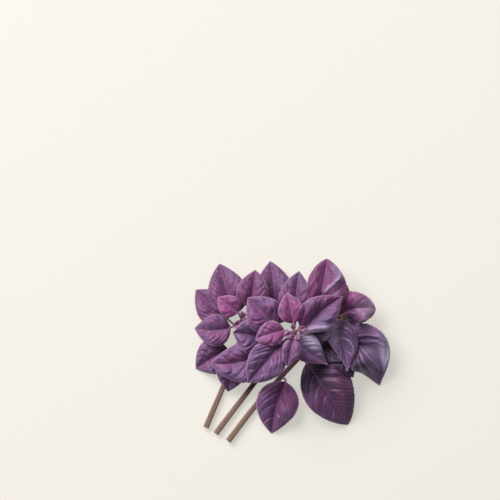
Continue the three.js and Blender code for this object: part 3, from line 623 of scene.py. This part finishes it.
def add_blade(piece, one, start, lift, rows, seed, length):
    """Adds a blade: a thin slab on the same midline and lift as the solid's, with its relief, its folds and
    small teeth that lean to the tip. It carries the numbers from which its colours are mixed."""
    step = min(1, length / FINE_BELOW)
    i = np.linspace(0, rows, max(int(length / (ROW_STEP * step)), 16))
    v = np.linspace(-1, 1, max(2 * int(sum(one["half"]) / (2 * COLUMN_STEP * step)) + 1, 13))
    side = np.where(v > 0, 0, 1)
    half_mm = np.maximum(np.array(one["half"])[side] * outline(i / rows, one["ends"], side), LEAST_HALF)
    t, reach = i[:, None] / rows, np.abs(v)

    points = leaf_points(one, start, rows, i, v)
    tooth = ((t * length / TOOTH_LENGTH + 0.5 * side) % 1) ** TOOTH_LEAN - 0.4
    tooth = TOOTH_DEPTH * tooth * np.clip(t * 8, 0, 1) * np.clip((1 - t) * 8, 0, 1)
    left = midline(one, start, rows, i)[1]
    points += left[:, None] * (v * reach ** 5 * tooth * half_mm)[..., None]
    across = cubic_weights(lift.shape[1], (v + 1) / 2 * (lift.shape[1] - 1))
    along = cubic_weights(lift.shape[0], i + STALK_ROWS)
    rise, vein, rib, phase = relief(one, seed, t, v[None, :], half_mm, length)
    fold, fold_vein = fold_rise(one["folds"], points[..., 0], points[..., 1])
    points[..., 2] += along @ lift @ across.T + (rise + fold * (1 - reach ** 12))
    slab = BLADE / 2 * (1 - 0.45 * reach ** 6) * min(1, 0.5 + length / 60)
    points[..., 2] = np.maximum(points[..., 2], LOWEST + slab)
    above, below = points.copy(), points.copy()
    above[..., 2] += slab
    below[..., 2] -= slab

    shape = points.shape[:2]
    share = np.clip(0.5 + v * half_mm / HALVES_MEET, 0, 1)
    flush = one["flush"][0] * share + one["flush"][1] * (1 - share)
    flush = flush + 0.2 * ripple(seed + 2, 1.7 * t, 1.3 * v[None, :]) - 0.3 * (t - 0.4)
    flush = flush + 0.15 * np.exp(-(half_mm * reach / 4) ** 2)
    # how dark the skin is, leaf by leaf and in slow patches: partly deeper pigment, partly painted shade;
    # veins and the pale rim fade where it is dark
    deep = one["deep"][0] * share + one["deep"][1] * (1 - share)
    deep = deep + 0.12 * ripple(seed + 3, 1.5 * t, 1.2 * v[None, :])
    shallow_and_unshaded = 1 - np.clip(deep, 0, 1)
    rim = RIM_WIDTH * min(1, length / 20)
    # patches of painted highlight, and below 0 of painted shade that adds to the darkness
    bloom = np.zeros(shape)
    for x, y, radius, amount in one["bloom"]:
        patch = np.exp(-((points[..., 0] - x) ** 2 + (points[..., 1] - y) ** 2) / radius ** 2)
        bloom += max(amount, 0) * patch
        deep = deep + max(-amount, 0) * patch
    numbers = {
        "vein": np.maximum(np.maximum(vein, fold_vein), rib) * (0.3 + 0.7 * shallow_and_unshaded),
        "flush": flush,
        "along": t,
        "edge": np.exp(-((1 - reach) * half_mm / rim) ** 2) * shallow_and_unshaded,
        "green": one["green"] + one["sprout"] * np.exp(-(t * length / 4) ** 2),
        "deep": deep,
        "bloom": bloom,
        "phase": phase,
    }
    both = {kind: np.tile(np.broadcast_to(number, shape).ravel(), 2) for kind, number in numbers.items()}
    both["under"] = np.repeat([0.0, 1.0], bloom.size)
    both["bloom"] = both["bloom"] * (1 - both["under"])
    piece.add(np.concatenate([above.reshape(-1, 3), below.reshape(-1, 3)]), [grid_faces(*shape)], **both)


def add_rib(piece, one, start, lift, rows, length, anchor):
    """Adds a stalk and midrib: one tube that goes under the blade's groove and tapers to the tip. Where the
    leaf grows on a stem the tube goes on half way to its middle, with a swollen joint."""
    i = np.linspace(-STALK_ROWS, rows * 0.97, RIB_RINGS)
    path = midline(one, start, rows, i)[0]
    middle = cubic_weights(lift.shape[1], np.array([(lift.shape[1] - 1) / 2]))
    path[:, 2] += (cubic_weights(lift.shape[0], i + STALK_ROWS) @ lift @ middle.T)[:, 0]
    on_blade = np.clip(i / rows, 0, 1)
    taper = (1.1 - 0.1 * np.clip(-i, 0, 1)) * (1 - 0.8 * on_blade ** 0.7)
    radii = RIB_WIDTH / 2 * taper * np.clip(length / FINE_BELOW, 0.35, 1)
    groove = GROOVE * (1 - on_blade) ** 0.5 * min(1, length / FLAT_BELOW)
    path[:, 2] -= np.clip(i / rows * 10, 0, 1) * (groove + radii * 0.75)
    path[:, 2] = np.maximum(path[:, 2], radii + 0.05)
    if anchor is not None:
        path = np.concatenate([[(path[0] + anchor) / 2], path])
        radii = np.concatenate([radii[:1] * 1.3, radii])
        radii[1:6] *= np.linspace(1.25, 1.0, 5)
        on_blade = np.concatenate([[0], on_blade])
    points, wall, caps = tube(path, radii, RIB_SIDES)
    along = np.concatenate([np.repeat(on_blade, RIB_SIDES), [0, on_blade[-1]]])
    # the stalk and midrib take the darkness of the blade's left half, deeper pigment and painted shade alike
    piece.add(points, [wall, caps], vein=1.0, under=1.0, green=one["green"] + 0.5 * (1 - along),
              deep=one["deep"][0], flush=one["flush"][0] + 0.2 * (1 - along), along=along)


def add_leaf(piece, one, start, lift, rows, seed, anchor=None):
    """Adds a leaf to a piece. anchor is the place in a stem that it grows from."""
    length = float(np.linalg.norm(np.array(one["tip"], float) - one["base"]))
    add_blade(piece, one, start, lift, rows, seed, length)
    add_rib(piece, one, start, lift, rows, length, anchor)


# Finishes
PIGMENT_CLOUDS = 120.0  # to a metre, so that a patch of pigment is about 8 mm across
OIL_GLANDS = 1100.0  # to a metre, about 0.9 mm apart
FINE_VEIN_BREAKS = 190.0  # to a metre: a fine vein comes and goes every 5 mm or so
FINEST_NET = 620.0  # to a metre, for the cells of about 1.6 mm between the finest veins
SKIN_CELLS = 1800.0  # to a metre, coarser than life so that they show
STEM_CLOUDS = 160.0  # to a metre, so that a patch is about 6 mm across
STEM_GRAIN = 1500.0  # to a metre, coarser than life so that it shows
TABLE_SPECKS = 260.0  # to a metre, about 4 mm apart


def colour(text):
    """Linear colour with alpha from an sRGB hex value."""
    values = [int(text[k:k + 2], 16) / 255 for k in (1, 3, 5)]
    return (*(c / 12.92 if c <= 0.04045 else ((c + 0.055) / 1.055) ** 2.4 for c in values), 1.0)


def add(tree, kind, values=None, **settings):
    """Adds a node with its settings, and sets or links its inputs."""
    made = tree.nodes.new(kind)
    for name, value in settings.items():
        setattr(made, name, value)
    for socket, value in (values or {}).items():
        if isinstance(value, bpy.types.NodeSocket):
            tree.links.new(value, made.inputs[socket])
        else:
            made.inputs[socket].default_value = value
    return made


def new_material(name):
    """A material with an empty node tree, and that tree."""
    made = bpy.data.materials.new(name)
    made.use_nodes = True
    made.node_tree.nodes.clear()
    return made, made.node_tree


def living_leaf_material():
    """Living purple basil leaf: a waxy, faintly downy skin over dark violet pigment. It gives a satin gloss
    that breaks up on the swellings between the veins, with a lilac sheen where it turns away. Painted
    highlights and painted shade lie in patches over its colour."""
    made, tree = new_material("living_basil_leaf")
    where = add(tree, "ShaderNodeTexCoord").outputs["Object"]
    vein, under, flush, edge, green, deep, bloom, phase = (
        add(tree, "ShaderNodeAttribute", attribute_name=kind).outputs["Fac"]
        for kind in ("vein", "under", "flush", "edge", "green", "deep", "bloom", "phase"))

    # pigment from dusky violet to magenta, in cloudy patches
    cloud = add(tree, "ShaderNodeTexNoise", {"Vector": where, "Scale": PIGMENT_CLOUDS, "Detail": 3.0,
                                             "Roughness": 0.55})
    patch = add(tree, "ShaderNodeMath", {0: cloud.outputs["Fac"], 1: 0.7}, operation="MULTIPLY")
    patched = add(tree, "ShaderNodeMath", {0: flush, 1: patch.outputs[0]}, operation="ADD")
    warmth = add(tree, "ShaderNodeMapRange", {0: patched.outputs[0], 1: 0.25, 2: 1.25})
    skin = add(tree, "ShaderNodeMix", {"Factor": warmth.outputs[0], 6: colour("#5a466d"),
                                       7: colour("#83326a")}, data_type="RGBA")
    # oil glands, as fine dots
    dots = add(tree, "ShaderNodeTexVoronoi", {"Vector": where, "Scale": OIL_GLANDS})
    dot = add(tree, "ShaderNodeMapRange", {0: dots.outputs["Distance"], 1: 0.12, 2: 0.32, 3: 0.45, 4: 0.0})
    # the large veins, and three fine ones to each space between them, which come and go
    within = add(tree, "ShaderNodeMath", {0: phase}, operation="FRACT")
    centred = add(tree, "ShaderNodeMath", {0: within.outputs[0], 1: 0.5}, operation="SUBTRACT")
    aside = add(tree, "ShaderNodeMath", {0: centred.outputs[0]}, operation="ABSOLUTE")
    line = add(tree, "ShaderNodeMapRange", {0: aside.outputs[0], 1: 0.0, 2: 0.22, 3: 0.15, 4: 0.0})
    fading = add(tree, "ShaderNodeTexNoise", {"Vector": where, "Scale": FINE_VEIN_BREAKS, "Detail": 1.0})
    shown = add(tree, "ShaderNodeMapRange", {0: fading.outputs["Fac"], 1: 0.36, 2: 0.66})
    strand = add(tree, "ShaderNodeMath", {0: line.outputs[0], 1: shown.outputs[0]}, operation="MULTIPLY")
    both = add(tree, "ShaderNodeMath", {0: vein, 1: 0.7, 2: strand.outputs[0]}, operation="MULTIPLY_ADD")
    veined = add(tree, "ShaderNodeMath", {0: both.outputs[0], 1: 0.9}, operation="MINIMUM")
    turned = add(tree, "ShaderNodeMath", {0: under, 1: 0.55}, operation="MULTIPLY")
    rimmed = add(tree, "ShaderNodeMath", {0: edge, 1: 0.75}, operation="MULTIPLY")

    layers = (
        (deep, "#2a1a30"),  # leaf by leaf the skin darkens to near black violet: partly deeper pigment, partly painted shade
        (dot.outputs[0], "#24142a"),  # oil glands are dark
        (green, "#7d7034"),  # where the pigment has failed, olive green shows
        (bloom, "#b2a8c4"),  # painted highlight: pale grey-lilac patches standing in for sheen and reflected light
        (veined.outputs[0], "#a083ac"),  # veins are a clearer, paler pink
        (turned.outputs[0], "#7d5272"),  # the underside is paler and duller
        (rimmed.outputs[0], "#bd97b3"),  # a thin pale line follows the margin
    )
    tone = skin
    for share, tint in layers:
        tone = add(tree, "ShaderNodeMix", {"Factor": share, 6: tone.outputs[2], 7: colour(tint)},
                   data_type="RGBA")

    # relief: fine veins are sunk, the net between the finest ones is pillowed, and skin cells lie over it
    net = add(tree, "ShaderNodeTexVoronoi", {"Vector": where, "Scale": FINEST_NET},
              feature="DISTANCE_TO_EDGE")
    netted = add(tree, "ShaderNodeMapRange", {0: net.outputs["Distance"], 1: 0.0, 2: 0.28})
    grain = add(tree, "ShaderNodeTexNoise", {"Vector": where, "Scale": SKIN_CELLS, "Detail": 2.0})
    fine = add(tree, "ShaderNodeMath", {0: grain.outputs["Fac"], 1: 0.35, 2: netted.outputs[0]},
               operation="MULTIPLY_ADD")
    rise = add(tree, "ShaderNodeMath", {0: strand.outputs[0], 1: -3.0, 2: fine.outputs[0]},
               operation="MULTIPLY_ADD")
    bump = add(tree, "ShaderNodeBump", {"Height": rise.outputs[0], "Strength": 0.5, "Distance": 0.00014})
    # the gloss varies with the clouds, and the underside has less of it
    dull = add(tree, "ShaderNodeMapRange", {0: cloud.outputs["Fac"], 1: 0.3, 2: 0.7, 3: 0.5, 4: 0.62})
    duller = add(tree, "ShaderNodeMath", {0: under, 1: 0.15, 2: dull.outputs[0]}, operation="MULTIPLY_ADD")
    # where the skin is darkest, from deeper pigment and from painted shade, gloss and sheen are turned down
    # with it
    shine = add(tree, "ShaderNodeMapRange", {0: deep, 1: 0.8, 2: 1.5, 3: 0.5, 4: 0.12})
    downy = add(tree, "ShaderNodeMapRange", {0: deep, 1: 0.8, 2: 1.5, 3: 0.3, 4: 0.05})
    shader = add(tree, "ShaderNodeBsdfPrincipled", {
        "Base Color": tone.outputs[2], "Roughness": duller.outputs[0], "IOR": 1.55,
        "Normal": bump.outputs[0], "Specular IOR Level": shine.outputs[0],
        "Specular Tint": colour("#d9cdea"), "Sheen Weight": downy.outputs[0], "Sheen Roughness": 0.5,
        "Sheen Tint": colour("#c4b6de")})
    add(tree, "ShaderNodeOutputMaterial", {"Surface": shader.outputs[0]})
    return made


def herb_stem_material():
    """Soft herb stem: ribbed, faintly downy skin, purple where the light reached it and greener below. The
    cut end shows pale pith inside a thin green rim."""
    made, tree = new_material("soft_herb_stem")
    where = add(tree, "ShaderNodeTexCoord").outputs["Object"]
    pith, along = (add(tree, "ShaderNodeAttribute", attribute_name=kind).outputs["Fac"]
                   for kind in ("vein", "along"))
    cloud = add(tree, "ShaderNodeTexNoise", {"Vector": where, "Scale": STEM_CLOUDS, "Detail": 4.0})
    warm = add(tree, "ShaderNodeMapRange", {0: cloud.outputs["Fac"], 1: 0.3, 2: 0.7})
    skin = add(tree, "ShaderNodeMix", {"Factor": warm.outputs[0], 6: colour("#5b3446"),
                                       7: colour("#7c4a5c")}, data_type="RGBA")
    greener = add(tree, "ShaderNodeMapRange", {0: along, 1: 0.0, 2: 0.5, 3: 0.5, 4: 0.1})
    faded = add(tree, "ShaderNodeMix", {"Factor": greener.outputs[0], 6: skin.outputs[2],
                                        7: colour("#77704e")}, data_type="RGBA")
    cut = add(tree, "ShaderNodeMix", {"Factor": pith, 6: faded.outputs[2], 7: colour("#c9c79b")},
              data_type="RGBA")
    grain = add(tree, "ShaderNodeTexNoise", {"Vector": where, "Scale": STEM_GRAIN, "Detail": 3.0})
    bump = add(tree, "ShaderNodeBump", {"Height": grain.outputs["Fac"], "Strength": 0.4,
                                        "Distance": 0.00015})
    shader = add(tree, "ShaderNodeBsdfPrincipled", {
        "Base Color": cut.outputs[2], "Roughness": 0.48, "IOR": 1.42, "Normal": bump.outputs[0],
        "Sheen Weight": 0.25, "Sheen Roughness": 0.4, "Sheen Tint": colour("#e4cfd6")})
    add(tree, "ShaderNodeOutputMaterial", {"Surface": shader.outputs[0]})
    return made


# The fine shape of a stem
STEM_RINGS = 220
STEM_SIDES = 40
SQUARENESS = 2.7  # power of its section, where 2 is round
CHANNEL = 0.05  # depth of the channel in each face, as a share of the half width
JOINT = 0.16  # how far it swells where a leaf grows, as a share of the half width
MOST_SWELLING = 0.2  # where several grow together
JOINT_LENGTH = 1.8
CUT_RINGS = (0.25, 0.55, 0.8, 0.93)  # of the cut end, as shares of the half width
CUT_PITH = (1.0, 1.0, 0.9, 0.45)  # how far each of them shows the pith
TIP_RINGS = ((0.5, 0.85), (0.9, 0.55), (1.1, 0.2))  # past its tip, and as shares of the half width
HAIRS = 1400  # to a stem
HAIR_HALF = 0.04  # thicker than life, so that a hair can be seen
HAIR_LENGTH = (0.5, 1.0)
HAIR_LEAN = 0.5
HAIR_ROOT = 0.96  # where it starts, within the skin, as a share of the half width


def stem_section(angle):
    """Reach of a stem's section at an angle, as a share of its half width: a rounded square, on which the
    powers of the two sides add up to 1."""
    return (np.abs(np.cos(angle)) ** SQUARENESS + np.abs(np.sin(angle)) ** SQUARENESS) ** (-1 / SQUARENESS)


def add_stem(piece, sprig):
    """Adds a stem: its section carried along the route, with a shallow channel in each face, a bell-shaped
    swelling where a leaf grows from it, a cut end of rings down to the pith and a rounded tip."""
    route = SPRIGS[sprig]["route"]
    t = np.linspace(0, 1, STEM_RINGS)
    middle, ahead = stem_middle(route, t), stem_ahead(route, t)
    lying = middle[:, 2] - stem_half(t) < 0.01
    ahead[lying] = unit(ahead[lying] * [1, 1, 0])  # level where it lies on the surface
    side = -flat_left(ahead)
    up = np.cross(side, ahead)
    angle = np.arange(STEM_SIDES) * 2 * np.pi / STEM_SIDES
    reach = stem_section(angle) * (1 - CHANNEL * np.cos(4 * angle))
    travelled = np.concatenate([[0], np.cumsum(np.linalg.norm(np.diff(middle, axis=0), axis=1))])
    swelling = np.zeros_like(t)
    for one in LEAVES:
        if one["sprig"] == sprig:
            from_joint = travelled - np.interp(one["at"], t, travelled)
            swelling += JOINT * np.exp(-(from_joint / JOINT_LENGTH) ** 2)
    half = stem_half(t) * (1 + np.minimum(swelling, MOST_SWELLING))

    x, y = reach * np.cos(angle), reach * np.sin(angle)
    around = side[:, None] * x[:, None] + up[:, None] * y[:, None]
    shaft = middle[:, None] + around * half[:, None, None]
    cut = middle[0] + around[0] * half[0] * np.array(CUT_RINGS)[:, None, None]
    past, share = np.array(TIP_RINGS).T[..., None, None]
    tip = middle[-1] + ahead[-1] * past + around[-1] * half[-1] * share
    rings = np.concatenate([cut, shaft, tip])
    rings[..., 2] = np.maximum(rings[..., 2], 0.0)
    points, wall, caps = close_rings(rings, [rings[0].mean(0), rings[-1].mean(0)])
    # these rings go round to the right, so their faces are turned over
    faces = [wall[:, [0, 3, 2, 1]], caps[:, [0, 2, 1]]]

    pith = np.concatenate([CUT_PITH, np.zeros(len(shaft) + len(tip))])
    along = np.concatenate([np.zeros(len(cut)), t, np.ones(len(tip))])
    piece.add(points, faces, vein=np.append(np.repeat(pith, STEM_SIDES), [1.0, 0.0]),
              along=np.append(np.repeat(along, STEM_SIDES), [0.0, 1.0]), flush=0.5)


def add_down(piece, sprig, seed):
    """Adds soft hairs to a stem: slim three-sided spikes that stand on its skin at seeded places, square to
    it and leaning a little along it."""
    route = SPRIGS[sprig]["route"]
    draw = np.random.default_rng(seed)
    t = draw.uniform(0.01, 0.98, HAIRS)
    angle = draw.uniform(0, 2 * np.pi, HAIRS)
    lean = draw.uniform(-HAIR_LEAN, HAIR_LEAN, HAIRS)
    length = draw.uniform(*HAIR_LENGTH, HAIRS)
    middle, ahead = stem_middle(route, t), stem_ahead(route, t)
    side = -flat_left(ahead)
    up = np.cross(side, ahead)
    out = side * np.cos(angle)[:, None] + up * np.sin(angle)[:, None]
    over = np.cross(out, ahead)
    foot = middle + out * (stem_section(angle) * HAIR_ROOT * stem_half(t))[:, None]
    tip = foot + (out + ahead * lean[:, None]) * length[:, None]
    thirds = np.arange(3) * 2 * math.pi / 3
    corners = [foot + (ahead * math.cos(a) + over * math.sin(a)) * HAIR_HALF - out * 0.05 for a in thirds]
    points = np.stack(corners + [tip], 1)
    points[..., 2] = np.maximum(points[..., 2], 0.0)
    k = np.arange(HAIRS)[:, None] * 4
    faces = np.concatenate([k + [0, 2, 1], k + [0, 1, 3], k + [1, 2, 3], k + [2, 0, 3]])
    piece.add(points, [faces], along=np.repeat(t, 4), flush=0.5, bloom=1.0)


LEAF_SKIN = living_leaf_material()
STEM_SKIN = herb_stem_material()

for number, (one, start, lift, node) in enumerate(lay_bunch()):
    piece = Piece()
    add_leaf(piece, one, start, lift, BLADE_ROWS, 10 * number + 3, node)
    made = piece.finish(one["name"] + "_blade", LEAF_SKIN)
    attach(made, "root")
    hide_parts(one["name"])

for number, sprig in enumerate(SPRIGS):
    piece = Piece()
    add_stem(piece, sprig)
    add_down(piece, sprig, 900 + number)
    made = piece.finish(f"stem_{sprig}_shoot", STEM_SKIN)
    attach(made, "root")
    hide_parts(f"stem_{sprig}")
    piece = Piece()
    for index, (young, young_start) in enumerate(tuft_of(sprig)):
        flat = np.zeros((STALK_ROWS + YOUNG_ROWS + 1, YOUNG_COLUMNS + 1))
        add_leaf(piece, young, young_start, flat, YOUNG_ROWS, 500 + 50 * number + index)
    made = piece.finish(f"stem_{sprig}_tuft", LEAF_SKIN)
    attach(made, "root")


# Stage, in metres: a pale warm surface, soft light from the back left, and a camera straight above
TABLE_HALF = 3
VIEW_CENTRE = (-0.0341, 0.0811)
VIEW_WIDTH = 0.4
VIEW_LEVEL = 0.02  # height of the middle leaves
AIM = (0, 0, VIEW_LEVEL)


def stage_floor():
    """Matt pale table: no gloss, and fine specks hardly darker than itself."""
    made, tree = new_material("matt_pale_table")
    where = add(tree, "ShaderNodeTexCoord").outputs["Object"]
    speck = add(tree, "ShaderNodeTexNoise", {"Vector": where, "Scale": TABLE_SPECKS, "Detail": 4.0})
    tone = add(tree, "ShaderNodeMix", {"Factor": speck.outputs["Fac"], 6: colour("#8b8883"),
                                       7: colour("#8f8c87")}, data_type="RGBA")
    shader = add(tree, "ShaderNodeBsdfPrincipled", {
        "Base Color": tone.outputs[2], "Roughness": 0.9, "Emission Color": colour("#f1eee6"),
        "Emission Strength": 0.59})
    add(tree, "ShaderNodeOutputMaterial", {"Surface": shader.outputs[0]})
    mesh = bpy.data.meshes.new("table")
    corners = [(x * TABLE_HALF, y * TABLE_HALF, 0) for x, y in ((-1, -1), (1, -1), (1, 1), (-1, 1))]
    mesh.from_pydata(corners, [], [(0, 1, 2, 3)])
    mesh.materials.append(made)
    table = bpy.data.objects.new("table", mesh)
    bpy.context.collection.objects.link(table)


def area_light(name, place, size, power, tint):
    """A square soft light that looks at the bunch."""
    lamp = bpy.data.lights.new(name, "AREA")
    lamp.size = size
    lamp.energy = power
    lamp.color = colour(tint)[:3]
    made = bpy.data.objects.new(name, lamp)
    made.location = place
    made.visible_camera = False
    made.rotation_euler = (Vector(AIM) - Vector(place)).to_track_quat("-Z", "Y").to_euler()
    bpy.context.collection.objects.link(made)


def stage_sky():
    """Faint even light from all round."""
    world = bpy.data.worlds.new("studio")
    world.use_nodes = True
    background = world.node_tree.nodes["Background"]
    background.inputs["Color"].default_value = colour("#f4f3f2")
    background.inputs["Strength"].default_value = 0.22
    bpy.context.scene.world = world


def stage_camera():
    """Straight above, on a long lens, with VIEW_WIDTH across the square frame at VIEW_LEVEL."""
    lens = bpy.data.cameras.new("camera")
    lens.lens = 200
    lens.sensor_width = 36
    made = bpy.data.objects.new("camera", lens)
    made.location = (*VIEW_CENTRE, VIEW_WIDTH * lens.lens / lens.sensor_width + VIEW_LEVEL)
    bpy.context.collection.objects.link(made)
    bpy.context.scene.camera = made


stage_floor()
area_light("window_light", (-1.55, 2.0, 2.15), 2.3, 226.0, "#fffcf8")
area_light("sky_fill", (0.7, 0.6, 1.5), 1.2, 2.0, "#f4f6ff")
stage_sky()
stage_camera()
bpy.context.scene.view_settings.view_transform = "Standard"
